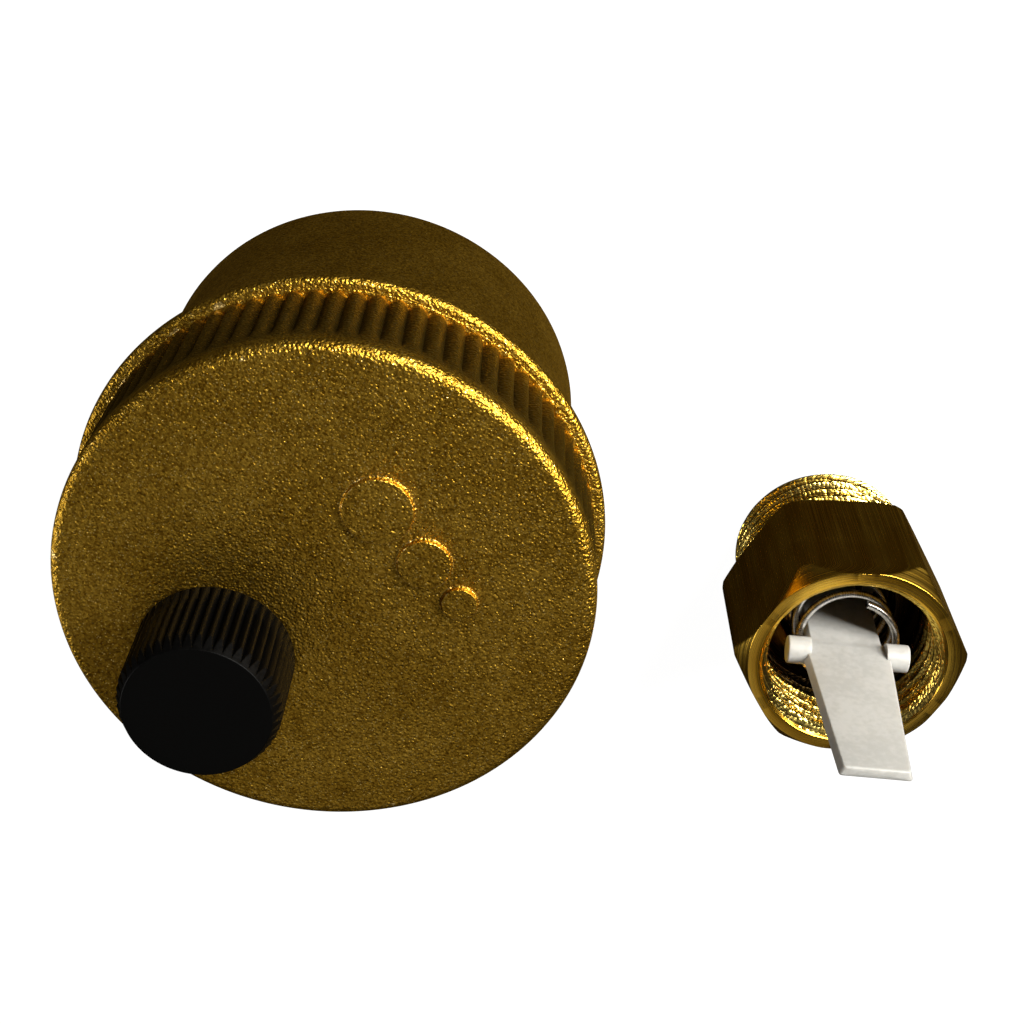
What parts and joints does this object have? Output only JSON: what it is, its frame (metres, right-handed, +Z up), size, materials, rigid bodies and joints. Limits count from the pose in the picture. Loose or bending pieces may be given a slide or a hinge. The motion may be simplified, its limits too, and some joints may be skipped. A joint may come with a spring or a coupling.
{
  "type": "automatic air vent",
  "caption": "Brass automatic air vent: float chamber, fluted screw cover, black knurled cap; with its hexagonal screw-on shut-off valve standing beside it, white blade up.",
  "frame": {"origin": "on the ground under the middle of the whole set, which stands on its two threaded ends", "axes": "+Z up along both threads; +X from the shut-off valve towards the vent; +Y to the back, away from the blade's wide front face"},
  "size_m": [0.0956, 0.046, 0.0752],
  "materials": {
    "cast_brass": "sand-blasted hot-stamped brass, dark gold, fine grain",
    "bright_brass": "machined bright brass with fine turning marks",
    "black_plastic": "black moulded plastic, satin",
    "white_plastic": "milky white acetal, slightly translucent",
    "float_plastic": "natural polypropylene",
    "stainless": "stamped stainless steel",
    "spring_steel": "drawn stainless spring wire",
    "black_rubber": "black EPDM",
    "fibre": "red-brown fibre sealing ring"
  },
  "bodies": {
    "vent_housing": {"housing": "cast_brass", "nipple_washer": "fibre"},
    "cover_carrier": {"cover_seal": "black_rubber"},
    "cover": {"cover": "cast_brass", "outlet_nozzle": "bright_brass", "nozzle_o_ring": "black_rubber", "bracket": "stainless", "pivot_pin": "stainless", "obturator_spring": "spring_steel"},
    "cap_carrier": {"cap_seal": "black_rubber"},
    "cap": {"cap": "black_plastic"},
    "float": {"float": "float_plastic", "float_stem": "float_plastic"},
    "lever": {"lever": "stainless"},
    "obturator": {"obturator_pin": "bright_brass", "obturator_seal": "black_rubber"},
    "valve_body": {"valve_body": "bright_brass", "shutter_spring": "spring_steel"},
    "shutter": {"shutter_blade": "white_plastic", "shutter_foot": "white_plastic", "shutter_o_ring": "black_rubber"}
  },
  "joints": [
    {"name": "cover_rise", "type": "slide", "parent": "vent_housing", "child": "cover_carrier", "axis": [0, 0, 1], "range_m": [0, 0.009]},
    {"name": "cover_turn", "type": "hinge", "parent": "cover_carrier", "child": "cover", "pos_m": [0.0248, 0, 0.06], "axis": [0, 0, 1], "range_deg": [0, 2160.1]},
    {"name": "cap_rise", "type": "slide", "parent": "cover", "child": "cap_carrier", "axis": [0, 0, 1], "range_m": [0, 0.005]},
    {"name": "cap_turn", "type": "hinge", "parent": "cap_carrier", "child": "cap", "pos_m": [0.02974, 0.00925, 0.07], "axis": [0, 0, 1], "range_deg": [0, 1800.1]},
    {"name": "float_rise", "type": "slide", "parent": "cover", "child": "float", "axis": [0, 0, 1], "range_m": [0, 0.006]},
    {"name": "lever_swing", "type": "hinge", "parent": "cover", "child": "lever", "pos_m": [0.0314, 0.01235, 0.057], "axis": [-0.8819, 0.4715, 0], "range_deg": [0, 24.76]},
    {"name": "obturator_rise", "type": "slide", "parent": "cover", "child": "obturator", "axis": [0, 0, 1], "range_m": [0, 0.00151], "deforming": ["obturator_spring"]},
    {"name": "valve_lift", "type": "slide", "parent": "vent_housing", "child": "valve_body", "axis": [0, 0, 1], "range_m": [0, 0.03]},
    {"name": "shutter_travel", "type": "slide", "parent": "valve_body", "child": "shutter", "axis": [0, 0, 1], "range_m": [-0.006, 0], "stiffness_N_per_m": 350, "springref_m": 0.004, "deforming": ["shutter_spring"]}
  ],
  "couplings": [
    {"joint": "cover_turn", "follows": "cover_rise", "rad_per_m": 4188.8},
    {"joint": "cap_turn", "follows": "cap_rise", "rad_per_m": 6283.2},
    {"joint": "lever_swing", "follows": "float_rise", "rad_per_m": 71.987},
    {"joint": "obturator_rise", "follows": "float_rise", "ratio": 0.25071}
  ]
}
